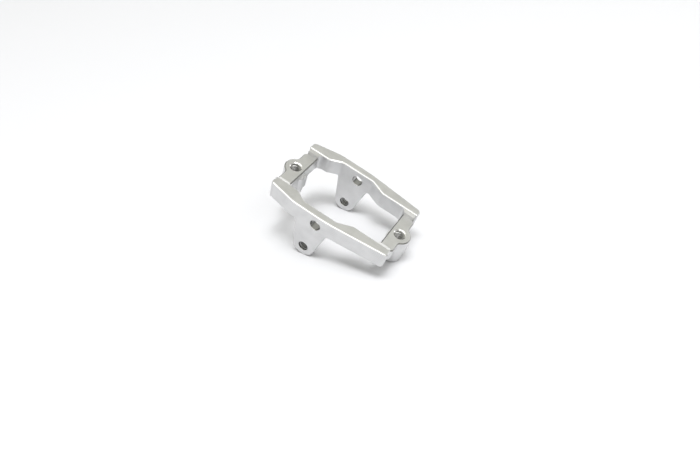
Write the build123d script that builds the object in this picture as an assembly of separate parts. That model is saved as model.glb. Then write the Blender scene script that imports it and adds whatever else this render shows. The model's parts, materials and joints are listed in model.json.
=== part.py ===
from build123d import *
import math
import os

# Servo bracket, machined from one block of aluminium.
# All sizes are in millimetres. +X runs along the two rails, +Y across them, +Z up.
# The origin is midway between the two end screw holes, on the seats round them.

# Rails: two long walls, seen from above
rail_length = 37.6
rail_height = 5.6
width_middle = 25.4
left_end_taper = 1.8
right_end_taper = 2.1
left_bend_from_end = 8.5
right_bend_from_end = 18.2
left_bend_radius = 10.0
right_bend_radius = 50.0
rail_corner_radius = 1.0
rail_inner_corner_radius = 0.5

# Opening between the rails, with a wider pocket in its middle
window_corner_radius = 1.25
wall_at_pocket = 2.5
step_depth = 2.05
left_step_from_end = 7.15
right_step_from_end = 11.95
left_step_run = 3.6
right_step_run = 4.4
step_radius = 2.5

# End bars: they tie the rails together and carry the seats
end_bar_width = 3.85
seat_depth = 1.65
seat_shoulder_width = 1.0
seat_shoulder_drop = 0.3
end_bar_overhang = 0.3
end_bar_corner_run = 0.9
end_bar_corner_depth = 0.85

# Ears and bosses round the end screws
end_hole_inset = 1.05
boss_radius = 3.35
boss_height = 8.75
ear_root_radius = 1.2
end_thread_diameter = 3.0
end_thread_countersink = 0.35

# Tabs hanging from the middle of the rails, seen from the side
tab_centre_from_left_end = 15.5
tab_root_length = 10.2
tab_left_root_radius = 0.6
tab_right_root_radius = 1.2
tab_nose_shift = -0.35
tab_nose_radius = 3.4
tab_drop = 12.1
tab_bore_shift = 1.1
tab_bore_below_rail_top = 3.5
tab_bore_diameter = 3.2
tab_thread_diameter = 3.0
tab_hole_chamfer = 0.15

# Broken edges
top_break = 0.35
bottom_break = 0.25
seat_break = 0.3

# Heights and places that follow
rail_top = seat_depth
rail_bottom = rail_top - rail_height
boss_bottom = -boss_height
tab_bottom = rail_bottom - tab_drop
tab_nose_z = tab_bottom + tab_nose_radius
tab_bore_z = rail_top - tab_bore_below_rail_top
half_rail = rail_length / 2
end_hole_x = half_rail - end_hole_inset
half_window = half_rail - end_bar_width
left_bend_x = left_bend_from_end - half_rail
right_bend_x = half_rail - right_bend_from_end
tab_root_centre_x = tab_centre_from_left_end - half_rail
tab_nose_x = tab_root_centre_x + tab_nose_shift
tab_bore_x = tab_root_centre_x + tab_bore_shift
outer_wall_y = width_middle / 2
pocket_y = outer_wall_y - wall_at_pocket
inner_wall_y = pocket_y - step_depth
half_seat = inner_wall_y - seat_shoulder_width
left_end_y = outer_wall_y - left_end_taper
right_end_y = outer_wall_y - right_end_taper
overlap = (min(left_end_y, right_end_y) - inner_wall_y) / 2
reach = rail_length + width_middle


def extrude_between(plan, low, high):
    """Solid with this plan, from one height to another."""
    return extrude(Pos(0, 0, low) * plan, amount=high - low)


def rail_plan():
    """The +Y rail from above: tapered outside, stepped pocket inside."""
    left_step_x = left_step_from_end - half_rail
    right_step_x = half_rail - right_step_from_end
    corners = [
        ((-half_rail, inner_wall_y), rail_inner_corner_radius),
        ((-half_rail, left_end_y), rail_corner_radius),
        ((left_bend_x, outer_wall_y), left_bend_radius),
        ((right_bend_x, outer_wall_y), right_bend_radius),
        ((half_rail, right_end_y), rail_corner_radius),
        ((half_rail, inner_wall_y), rail_inner_corner_radius),
        ((right_step_x, inner_wall_y), step_radius),
        ((right_step_x - right_step_run, pocket_y), step_radius),
        ((left_step_x + left_step_run, pocket_y), step_radius),
        ((left_step_x, inner_wall_y), step_radius),
    ]
    points = [point for point, radius in corners]
    radii = [radius for point, radius in corners]
    return make_face(FilletPolyline(*points, radius=radii, close=True))


def tangent_point(point, centre, radius, side):
    """Where a line from the point touches the circle; side is 1 or -1."""
    dx = point[0] - centre[0]
    dz = point[1] - centre[1]
    turn = side * math.acos(radius / math.hypot(dx, dz))
    angle = math.atan2(dz, dx) + turn
    return (centre[0] + radius * math.cos(angle), centre[1] + radius * math.sin(angle))


def side_profile():
    """Rail and tab from the side: a long band with a round-nosed tab below it."""
    middle_z = (rail_top + rail_bottom) / 2
    band = Pos(0, middle_z) * Rectangle(reach, rail_height)
    nose = (tab_nose_x, tab_nose_z)
    left_root = (tab_root_centre_x - tab_root_length / 2, rail_bottom)
    right_root = (tab_root_centre_x + tab_root_length / 2, rail_bottom)
    left_touch = tangent_point(left_root, nose, tab_nose_radius, 1)
    right_touch = tangent_point(right_root, nose, tab_nose_radius, -1)
    outline = Polyline(
        left_touch, left_root, (left_root[0], middle_z), (right_root[0], middle_z), right_root, right_touch
    )
    outline += ThreePointArc(right_touch, (tab_nose_x, tab_bottom), left_touch)
    profile = band + make_face(outline)
    for root, radius in ((left_root, tab_left_root_radius), (right_root, tab_right_root_radius)):
        corner = profile.vertices().sort_by_distance(Vector(*root))[0]
        profile = fillet(corner, radius)
    return profile


def is_upright(edge):
    """True for a straight edge along Z."""
    return edge.geom_type == GeomType.LINE and abs(edge.tangent_at(0.5).Z) > 0.999


def side_wall():
    """The +Y rail with its tab, edges broken."""
    column = extrude_between(rail_plan(), tab_bottom - tab_nose_radius, rail_top)
    wall = column & extrude(Plane.XZ * side_profile(), amount=reach, both=True)
    wall = chamfer(wall.edges().group_by(Axis.Z)[-1], top_break)
    below_top = rail_top - top_break - bottom_break / 2
    low_edges = wall.edges().filter_by(lambda edge: edge.center().Z < below_top and not is_upright(edge))
    return chamfer(low_edges, bottom_break)


def end_bar_plan():
    """The -X end bar from above, with its round ear, up to the opening."""
    edge_x = -half_rail - end_bar_overhang
    corner_x = edge_x + end_bar_corner_depth
    corner_y = inner_wall_y - end_bar_corner_depth
    side_y = inner_wall_y + overlap
    half = [
        (-half_window + window_corner_radius, side_y),
        (corner_x, side_y),
        (corner_x, corner_y),
        (edge_x, corner_y - end_bar_corner_run),
    ]
    outline = half + [(x, -y) for x, y in reversed(half)]
    ear = Pos(-end_hole_x, 0) * Circle(boss_radius)
    plan = make_face(Polyline(*outline, close=True)) + ear
    root_y = math.sqrt(boss_radius**2 - (end_hole_x + edge_x) ** 2)
    roots = [plan.vertices().sort_by_distance(Vector(edge_x, y))[0] for y in (root_y, -root_y)]
    plan = fillet(roots, ear_root_radius)
    return plan - RectangleRounded(2 * half_window, 2 * inner_wall_y, window_corner_radius)


def seat_section():
    """Section across an end bar: the seat between two sloping shoulders."""
    shoulder_z = rail_top - top_break
    slope = seat_shoulder_drop / seat_shoulder_width
    side_y = inner_wall_y + overlap
    half = [
        (side_y, rail_bottom),
        (side_y, shoulder_z + slope * overlap),
        (half_seat, shoulder_z - seat_shoulder_drop),
        (half_seat, 0),
    ]
    outline = half + [(-y, z) for y, z in reversed(half)]
    return make_face(Polyline(*outline, close=True))


def end_bar():
    """The -X end bar with its seat, ear and threaded boss."""
    bar = extrude_between(end_bar_plan(), rail_bottom, rail_top)
    bar = bar & extrude(Plane.YZ * seat_section(), amount=reach, both=True)
    seat_edges = bar.edges().filter_by(
        lambda edge: abs(edge.center().Z) < 0.001 and abs(abs(edge.center().Y) - half_seat) > 0.001
    )
    bar = chamfer(seat_edges, seat_break)
    inner_run = end_hole_x - half_window
    boss_plan = Pos(-end_hole_x, 0) * Circle(boss_radius)
    boss_plan += Pos(-end_hole_x + inner_run / 2, 0) * Rectangle(inner_run, 2 * boss_radius)
    boss = extrude_between(boss_plan, boss_bottom, (rail_bottom - seat_break) / 2)
    boss = chamfer(boss.edges().group_by(Axis.Z)[0], bottom_break)
    return bar + boss


def bevelled_hole(low, high, diameter, bevel):
    """Cutter along Z for a round hole with a bevel at each mouth."""
    radius = diameter / 2
    cutter = Pos(0, 0, (low + high) / 2) * Cylinder(radius, high - low + 2 * bevel)
    for mouth, into in ((low, 1), (high, -1)):
        cone = Cone(radius + 2 * bevel, radius, 2 * bevel)
        cone = cone if into > 0 else Rot(180, 0, 0) * cone
        cutter += Pos(0, 0, mouth) * cone
    return cutter


def cross_hole(x, z, diameter):
    """Cutter along Y through both tabs, with a bevel at each of the four mouths."""
    one = bevelled_hole(pocket_y, outer_wall_y, diameter, tab_hole_chamfer)
    both = one + mirror(one, about=Plane.XY)
    return Pos(x, 0, z) * Rot(-90, 0, 0) * both


def servo_bracket():
    """The whole bracket: two walls, two end bars and six threaded or plain holes."""
    wall = side_wall()
    bar = end_bar()
    body = wall + mirror(wall, about=Plane.XZ) + bar + mirror(bar, about=Plane.YZ)
    end_hole = bevelled_hole(boss_bottom, 0, end_thread_diameter, end_thread_countersink)
    for side in (-1, 1):
        body -= Pos(side * end_hole_x, 0, 0) * end_hole
    body -= cross_hole(tab_bore_x, tab_bore_z, tab_bore_diameter)
    body -= cross_hole(tab_nose_x, tab_nose_z, tab_thread_diameter)
    return body


os.makedirs("parts", exist_ok=True)
export_step(servo_bracket(), "parts/servo_bracket.step")
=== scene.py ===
import json
import math

import bmesh
import bpy
from mathutils import Matrix, Vector

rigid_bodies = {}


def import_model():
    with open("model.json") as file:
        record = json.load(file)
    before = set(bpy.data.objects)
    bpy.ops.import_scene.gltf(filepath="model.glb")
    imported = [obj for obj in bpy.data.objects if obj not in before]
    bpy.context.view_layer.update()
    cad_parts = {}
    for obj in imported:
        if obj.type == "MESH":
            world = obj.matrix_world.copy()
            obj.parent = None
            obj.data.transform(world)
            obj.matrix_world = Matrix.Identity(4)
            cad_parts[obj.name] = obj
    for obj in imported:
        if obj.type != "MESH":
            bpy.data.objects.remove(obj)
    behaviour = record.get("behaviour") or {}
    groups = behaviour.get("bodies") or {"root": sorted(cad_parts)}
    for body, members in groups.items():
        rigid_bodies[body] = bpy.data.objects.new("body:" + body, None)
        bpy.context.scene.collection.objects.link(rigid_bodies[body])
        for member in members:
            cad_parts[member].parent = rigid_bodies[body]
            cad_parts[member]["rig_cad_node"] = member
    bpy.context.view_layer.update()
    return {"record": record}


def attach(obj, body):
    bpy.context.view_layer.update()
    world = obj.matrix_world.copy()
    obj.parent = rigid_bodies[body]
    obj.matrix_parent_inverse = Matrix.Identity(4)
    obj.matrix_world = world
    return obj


# Servo bracket of silver anodised aluminium, on a white floor in soft studio light.
# Metres, in the frame of the CAD: +X along the rails, +Y across them, +Z up.

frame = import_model()
mounts = {mount["name"]: mount for mount in frame["record"]["mounts"]}
mm_per_metre = 1000

# The bracket lies on its tab noses and on the foot of one boss, so it leans on the floor
lean_angle = math.radians(16.95)
floor_drop = 0.01445
floor_size = 8.0
floor_tone = (0.438, 0.44, 0.455, 1)
floor_roughness = 0.9
floor_gloss = 0.1

# Camera over that floor: round from the front towards the right, and up
camera_lean = math.radians(17.09)
camera_azimuth = math.radians(30.47)
camera_elevation = math.radians(42.76)
camera_distance = 0.15855
camera_aim = Vector((0.00604, -0.00596, -0.00448))
camera_lens = 29.18
camera_clip = 0.005

# Room: its tone at the horizon, and from this height of a unit vector upwards
room_horizon_tone = (0.28, 0.28, 0.27, 1)
room_upper_tone = (0.78, 0.78, 0.72, 1)
room_upper_height = 0.6

# Soft boxes: azimuth and elevation in degrees, width and height in metres, brightness,
# and whether the floor and the gloss of the metal see them
light_distance = 1.0
soft_boxes = {
    "overhead_left": (-30, 74, 0.26, 0.26, 13.0, True, False),
    "overhead_middle": (30, 78, 0.26, 0.26, 33.0, True, False),
    "overhead_right": (90, 78, 0.26, 0.26, 21.0, True, False),
    "side_box": (85, 48, 1.3, 0.67, 2.3, True, True),
    "back_strip": (180, 8, 0.83, 0.33, 2.0, True, True),
    "front_strip": (0, 40, 2.5, 0.26, 1.2, False, True),
}

# Threads: M3, cut in the end bosses and in the lower holes of the tabs.
# The ridge's half width is a share of the pitch, and the run-in is the share of a turn
# over which it grows from its smallest share.
thread_pitch = 0.0005
thread_minor_radius = 0.00124
thread_crest = 0.00008
thread_steps = 36
thread_half_width = 0.44
thread_smallest_share = 0.1
thread_run_in = 1 / 3
end_thread_countersink = 0.00035
end_thread_length = 0.00875
tab_wall = 0.0025
tab_hole_chamfer = 0.00015

# Chamfer round the rail tops: only a thin line in its middle gets the bright edge tone, a
# painted highlight
rail_top = 0.00165
top_break = 0.00035
painted_highlight_width = 0.00016

# Painted shade: a darker tone on the edge round each seat, outside its countersink
seat_break = 0.0003
seat_shade_band = 0.6 * seat_break
countersink_margin = 0.00045

# Which faces count as sides, and which as broken edges, by their normals
side_facing = 0.85
edge_slope = math.sqrt(0.5)
edge_slope_band = 0.12

# Silver anodising, and the brighter metal of the broken edges, which is also the tone of the
# painted highlight line on the rail tops
metal_light = (0.67, 0.67, 0.67, 1)
metal_dark = (0.57, 0.57, 0.57, 1)
metal_roughness = (0.30, 0.42)
edge_and_highlight_tone = (0.92, 0.92, 0.91, 1)
edge_roughness = 0.22
seat_edge_painted_shade = (0.45, 0.45, 0.44, 1)

# Holes, all darker than the body as painted shade: their walls, their broken mouths in the tabs,
# and their threads
bore_painted_shade = (0.34, 0.34, 0.336, 1)
bore_roughness = 0.10
bore_margin = 0.00003
mouth_painted_shade = (0.45, 0.45, 0.44, 1)
end_thread_ridge_shade = (0.50, 0.50, 0.49, 1)
thread_roughness = (0.2, 0.34)
tab_thread_bore_shade = (0.17, 0.17, 0.168, 1)
tab_thread_ridge_shade = (0.38, 0.38, 0.375, 1)

# Marks of the cutter: streaks along the rails, arcs on the side faces, grain and patches
streak_width = 0.00012
streak_length = 0.0025
streak_strength = 0.8
grain_size = 0.00006
grain_detail = 1.0
grain_share = (0.3, 0.6)
patch_size = 0.004
swirl_pitch = 0.0005
swirl_centre = (-0.009, 0, 0.004)
swirl_wander = 4.0
swirl_detail = 3.0
swirl_detail_scale = 0.6
swirl_contrast = (0.42, 0.58)
bump_strength = 0.35
bump_height = 0.000006

# A wave texture of this scale has its rings a metre apart
wave_scale_for_one_metre = 0.314

# The parts of a noise's range that are spread over a whole mix
noise_middle = (0.35, 0.65)
noise_wide = (0.3, 0.7)


def leaned(angle):
    """Turns a direction of the level room into the bracket's frame."""
    return Matrix.Rotation(-angle, 3, "Y")


def direction(azimuth, elevation):
    """Unit vector at an azimuth from the front, towards the right, and an elevation."""
    flat = math.cos(elevation)
    return Vector((math.sin(azimuth) * flat, -math.cos(azimuth) * flat, math.sin(elevation)))


def placed(name, data):
    """A new object of the scene with this data."""
    made = bpy.data.objects.new(name, data)
    bpy.context.scene.collection.objects.link(made)
    return made


def add_camera():
    """The photograph's camera."""
    back = leaned(camera_lean) @ direction(camera_azimuth, camera_elevation)
    level_right = Vector((math.cos(camera_azimuth), math.sin(camera_azimuth), 0))
    right = leaned(camera_lean) @ level_right
    up = back.cross(right)
    data = bpy.data.cameras.new("camera")
    data.lens = camera_lens
    data.clip_start = camera_clip
    camera = placed("camera", data)
    turn = Matrix((right, up, back)).transposed().to_4x4()
    camera.matrix_world = Matrix.Translation(camera_aim + back * camera_distance) @ turn
    bpy.context.scene.camera = camera


def node(tree, kind, **values):
    """A new node with its properties set."""
    made = tree.nodes.new(kind)
    for name, value in values.items():
        setattr(made, name, value)
    return made


def plain_material(name):
    """A new node material and its shader."""
    material = bpy.data.materials.new(name)
    material.use_nodes = True
    return material, material.node_tree.nodes["Principled BSDF"]


def feed(tree, value, socket):
    """Gives a socket its value, a constant or another node's output."""
    if isinstance(value, bpy.types.NodeSocket):
        tree.links.new(value, socket)
    else:
        socket.default_value = value


def computed(tree, operation, *values, clamp=False):
    """Result of a Math node."""
    made = node(tree, "ShaderNodeMath", operation=operation, use_clamp=clamp)
    for value, socket in zip(values, made.inputs):
        feed(tree, value, socket)
    return made.outputs["Value"]


def vector_computed(tree, operation, result, *values):
    """Result of a Vector Math node, from its output of this name."""
    made = node(tree, "ShaderNodeVectorMath", operation=operation)
    for value, socket in zip(values, made.inputs):
        feed(tree, value, socket)
    return made.outputs[result]


def coordinates(tree, kind):
    """Texture coordinates of this kind."""
    return node(tree, "ShaderNodeTexCoord").outputs[kind]


def part_of(tree, vector, axis):
    """One component of a vector."""
    parts = node(tree, "ShaderNodeSeparateXYZ")
    tree.links.new(vector, parts.inputs["Vector"])
    return parts.outputs[axis]


def ranged(tree, value, low, high, to_low=0.0, to_high=1.0):
    """The value carried from one range to another."""
    made = node(tree, "ShaderNodeMapRange")
    made.inputs["From Min"].default_value = low
    made.inputs["From Max"].default_value = high
    made.inputs["To Min"].default_value = to_low
    made.inputs["To Max"].default_value = to_high
    tree.links.new(value, made.inputs["Value"])
    return made.outputs["Result"]


def blended(tree, kind, factor, first, second):
    """Mix of two colours or numbers, each a constant or an output."""
    made = node(tree, "ShaderNodeMix", data_type=kind)
    first_socket, second_socket, result = {"FLOAT": (2, 3, 0), "RGBA": (6, 7, 2)}[kind]
    feed(tree, factor, made.inputs[0])
    feed(tree, first, made.inputs[first_socket])
    feed(tree, second, made.inputs[second_socket])
    return made.outputs[result]


def noise(tree, here, size, detail=3.0):
    """Noise whose features have the given size in metres along X, Y and Z."""
    mapping = node(tree, "ShaderNodeMapping")
    mapping.inputs["Scale"].default_value = [1 / step for step in size]
    tree.links.new(here, mapping.inputs["Vector"])
    texture = node(tree, "ShaderNodeTexNoise")
    texture.inputs["Scale"].default_value = 1.0
    texture.inputs["Detail"].default_value = detail
    tree.links.new(mapping.outputs["Vector"], texture.inputs["Vector"])
    return texture.outputs["Fac"]


def swirls(tree, here):
    """Faint arcs that a turning cutter leaves on the side faces."""
    mapping = node(tree, "ShaderNodeMapping")
    mapping.inputs["Location"].default_value = [-step for step in swirl_centre]
    tree.links.new(here, mapping.inputs["Vector"])
    wave = node(tree, "ShaderNodeTexWave", wave_type="RINGS", rings_direction="Y")
    wave.inputs["Scale"].default_value = wave_scale_for_one_metre / swirl_pitch
    wave.inputs["Distortion"].default_value = swirl_wander
    wave.inputs["Detail"].default_value = swirl_detail
    wave.inputs["Detail Scale"].default_value = swirl_detail_scale
    tree.links.new(mapping.outputs["Vector"], wave.inputs["Vector"])
    return ranged(tree, wave.outputs["Fac"], 0.0, 1.0, *swirl_contrast)


def holes(name):
    """Centre, measured directions and radius of each hole that a mount stands for."""
    mount = mounts[name]
    dims = mount["dims"]
    across = [1 - abs(part) for part in mount["axis"]]
    if name == "end_screws":
        radius = dims["hole_r_mm"] / mm_per_metre
        half_spacing = dims["spacing_x_mm"] / mm_per_metre / 2
        return [((side * half_spacing, 0, 0), across, radius) for side in (-1, 1)]
    return [(mount["pos_m"], across, dims["r_mm"] / mm_per_metre)]


def hole_mask(tree, here, names, margin):
    """One inside the holes of these mounts, and as far as the margin round them."""
    total = None
    for centre, across, radius in [hole for name in names for hole in holes(name)]:
        away = vector_computed(tree, "SUBTRACT", "Vector", here, centre)
        flat = vector_computed(tree, "MULTIPLY", "Vector", away, across)
        reach = vector_computed(tree, "LENGTH", "Value", flat)
        inside = computed(tree, "LESS_THAN", reach, radius + margin)
        total = inside if total is None else computed(tree, "MAXIMUM", total, inside)
    return total


def side_face_mask(tree):
    """One on faces that look along Y, the sides of the rails and tabs."""
    across = computed(tree, "ABSOLUTE", part_of(tree, coordinates(tree, "Normal"), "Y"))
    return computed(tree, "GREATER_THAN", across, side_facing)


def cut_edge_mask(tree):
    """One on faces that slope at about 45 degrees, which are the broken edges."""
    rise = computed(tree, "ABSOLUTE", part_of(tree, coordinates(tree, "Normal"), "Z"))
    return computed(tree, "COMPARE", rise, edge_slope, edge_slope_band)


def outside_painted_highlight_mask(tree, here):
    """One on the chamfer round the rail tops, outside the middle line that carries the painted
    highlight.
    """
    height = part_of(tree, here, "Z")
    on_chamfer = computed(tree, "GREATER_THAN", height, rail_top - top_break)
    middle = rail_top - top_break / 2
    in_highlight_line = computed(tree, "COMPARE", height, middle, painted_highlight_width / 2)
    return computed(tree, "SUBTRACT", on_chamfer, in_highlight_line)


def seat_edge_shade_mask(tree, here):
    """One at the height of the seat edges, away from the countersinks: where the shade is
    painted.
    """
    height = part_of(tree, here, "Z")
    level = computed(tree, "COMPARE", height, -seat_break / 2, seat_shade_band)
    sinks = hole_mask(tree, here, ["end_screws"], countersink_margin)
    return computed(tree, "SUBTRACT", level, sinks, clamp=True)


def aluminium():
    """Silver anodised aluminium: cutter marks, bright broken edges, a painted highlight line on
    the rail tops, and painted shade on the seat edges, hole mouths and bores.
    """
    material, shader = plain_material("aluminium")
    tree = material.node_tree
    here = coordinates(tree, "Object")

    lengthwise = noise(tree, here, (streak_length, streak_width, streak_width))
    streaks = blended(tree, "FLOAT", side_face_mask(tree), lengthwise, swirls(tree, here))
    grain = noise(tree, here, (grain_size, grain_size, grain_size), grain_detail)
    patches = noise(tree, here, (patch_size, patch_size, patch_size))

    # Broken edges take the bright edge tone, but on the rail-top chamfers only the painted
    # highlight line does
    edges = computed(tree, "SUBTRACT", cut_edge_mask(tree), outside_painted_highlight_mask(tree, here), clamp=True)
    # Seat edges: a darker tone, painted shade
    shaded_seat_edges = seat_edge_shade_mask(tree, here)
    # Inside the holes: darker tones, painted shade, darker still in the threaded tab holes
    bores = hole_mask(tree, here, list(mounts), bore_margin)
    # Broken mouths of the tab holes: a darker tone, painted shade
    mouths = hole_mask(tree, here, ["tab_bore", "tab_thread"], tab_hole_chamfer + bore_margin)
    tab_thread_bores = hole_mask(tree, here, ["tab_thread"], bore_margin)

    patched = ranged(tree, patches, *noise_middle)
    body = blended(tree, "RGBA", patched, metal_dark, metal_light)
    streaked = ranged(tree, streaks, *noise_middle, 0.0, streak_strength)
    body = blended(tree, "RGBA", streaked, body, metal_light)
    edge_tone = blended(tree, "RGBA", shaded_seat_edges, edge_and_highlight_tone, seat_edge_painted_shade)
    edge_tone = blended(tree, "RGBA", mouths, edge_tone, mouth_painted_shade)
    outside = blended(tree, "RGBA", edges, body, edge_tone)
    inside = blended(tree, "RGBA", tab_thread_bores, bore_painted_shade, tab_thread_bore_shade)
    feed(tree, blended(tree, "RGBA", bores, outside, inside), shader.inputs["Base Color"])

    rough = ranged(tree, streaks, *noise_wide, *metal_roughness)
    rough = blended(tree, "FLOAT", edges, rough, edge_roughness)
    feed(tree, blended(tree, "FLOAT", bores, rough, bore_roughness), shader.inputs["Roughness"])

    grain_mix = ranged(tree, patches, 0.0, 1.0, *grain_share)
    bump = node(tree, "ShaderNodeBump")
    bump.inputs["Strength"].default_value = bump_strength
    bump.inputs["Distance"].default_value = bump_height
    feed(tree, blended(tree, "FLOAT", grain_mix, streaks, grain), bump.inputs["Height"])
    feed(tree, bump.outputs["Normal"], shader.inputs["Normal"])
    shader.inputs["Metallic"].default_value = 1.0
    return material


def thread_metal(name, dark, light):
    """Bare cut metal of the thread turns, between a dark and a light tone, both painted shade
    darker than the body.
    """
    material, shader = plain_material(name)
    tree = material.node_tree
    here = coordinates(tree, "Object")
    marks = noise(tree, here, (grain_size, grain_size, streak_width))
    tone = blended(tree, "RGBA", ranged(tree, marks, *noise_wide), dark, light)
    feed(tree, tone, shader.inputs["Base Color"])
    rough = ranged(tree, marks, *noise_wide, *thread_roughness)
    feed(tree, rough, shader.inputs["Roughness"])
    shader.inputs["Metallic"].default_value = 1.0
    return material


def thread(name, start, axis, length, major_radius, material):
    """Ridge of an inside thread, wound from the start along the axis."""
    turns = length / thread_pitch
    count = int(turns * thread_steps)
    ridge = bmesh.new()
    before = None
    for index in range(count + 1):
        share = index / count
        angle = 2 * math.pi * turns * share
        along = length * share
        nearest_end = min(share, 1 - share)
        grown = min(1.0, nearest_end * turns / thread_run_in)
        inner = major_radius - (major_radius - thread_minor_radius) * grown
        half = thread_pitch * thread_half_width * max(grown, thread_smallest_share)
        crest = min(thread_crest, half)
        corners = ((major_radius, -half), (inner, -crest), (inner, crest), (major_radius, half))
        ring = []
        for radius, offset in corners:
            point = (radius * math.cos(angle), radius * math.sin(angle), along + offset)
            ring.append(ridge.verts.new(point))
        if before:
            for near, far in ((0, 1), (1, 2), (2, 3)):
                ridge.faces.new((before[near], ring[near], ring[far], before[far]))
        before = ring
    bmesh.ops.recalc_face_normals(ridge, faces=ridge.faces)
    turn = Vector(axis).to_track_quat("Z", "Y").to_matrix().to_4x4()
    ridge.transform(Matrix.Translation(start) @ turn)
    mesh = bpy.data.meshes.new(name)
    ridge.to_mesh(mesh)
    ridge.free()
    mesh.materials.append(material)
    piece = placed(name, mesh)
    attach(piece, "root")


def add_threads():
    """Threads of the two end holes and of the two lower tab holes."""
    # The end threads take the painted shade of the bores
    metal = thread_metal("end_thread_metal", bore_painted_shade, end_thread_ridge_shade)
    margin = end_thread_countersink + thread_pitch / 2
    length = end_thread_length - 2 * margin
    for name, hole in zip(("thread_left", "thread_right"), holes("end_screws")):
        centre, across, radius = hole
        start = Vector(centre) - Vector((0, 0, margin))
        thread(name, start, (0, 0, -1), length, radius, metal)

    metal = thread_metal("tab_thread_metal", tab_thread_bore_shade, tab_thread_ridge_shade)
    margin = tab_hole_chamfer + thread_pitch / 2
    length = tab_wall - 2 * margin
    outer_y = mounts["tab_thread"]["dims"]["length_mm"] / mm_per_metre / 2
    centre, across, radius = holes("tab_thread")[0]
    for side, name in ((-1, "thread_near_tab"), (1, "thread_far_tab")):
        start = Vector(centre) + Vector((0, side * (outer_y - margin), 0))
        thread(name, start, (0, -side, 0), length, radius, metal)


def dress_bracket():
    """The metal on the CAD node."""
    metal = aluminium()
    for bracket in bpy.context.scene.objects:
        if bracket.type == "MESH" and "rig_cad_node" in bracket:
            bracket.data.materials.clear()
            bracket.data.materials.append(metal)


def add_floor():
    """White floor under the leaning bracket."""
    half = floor_size / 2
    corners = [(-half, -half, 0), (half, -half, 0), (half, half, 0), (-half, half, 0)]
    mesh = bpy.data.meshes.new("floor")
    mesh.from_pydata(corners, [], [(0, 1, 2, 3)])
    floor = placed("floor", mesh)
    turn = leaned(lean_angle)
    down = turn @ Vector((0, 0, -floor_drop))
    floor.matrix_world = Matrix.Translation(down) @ turn.to_4x4()
    material, shader = plain_material("floor_white")
    shader.inputs["Base Color"].default_value = floor_tone
    shader.inputs["Roughness"].default_value = floor_roughness
    shader.inputs["Specular IOR Level"].default_value = floor_gloss
    mesh.materials.append(material)


def add_light(name, azimuth, elevation, width, height, brightness, on_floor, in_metal):
    """Soft box that looks at the bracket, at room angles in degrees."""
    data = bpy.data.lights.new(name, "AREA")
    data.shape = "RECTANGLE"
    data.size = width
    data.size_y = height
    data.energy = brightness * math.pi * width * height
    light = placed(name, data)
    away = leaned(lean_angle) @ direction(math.radians(azimuth), math.radians(elevation))
    light.location = away * light_distance
    light.rotation_mode = "QUATERNION"
    light.rotation_quaternion = away.to_track_quat("Z", "Y")
    light.visible_camera = False
    light.visible_diffuse = on_floor
    light.visible_glossy = in_metal


def add_room():
    """Pale room, darker towards the horizon."""
    world = bpy.data.worlds.new("room")
    world.use_nodes = True
    tree = world.node_tree
    up = leaned(lean_angle) @ Vector((0, 0, 1))
    height = vector_computed(tree, "DOT_PRODUCT", "Value", coordinates(tree, "Generated"), up)
    climb = ranged(tree, height, 0.0, room_upper_height)
    tone = blended(tree, "RGBA", climb, room_horizon_tone, room_upper_tone)
    feed(tree, tone, tree.nodes["Background"].inputs["Color"])
    bpy.context.scene.world = world


add_camera()
add_floor()
add_room()
for box_name, settings in soft_boxes.items():
    add_light(box_name, *settings)
dress_bracket()
add_threads()
bpy.context.scene.view_settings.view_transform = "Standard"
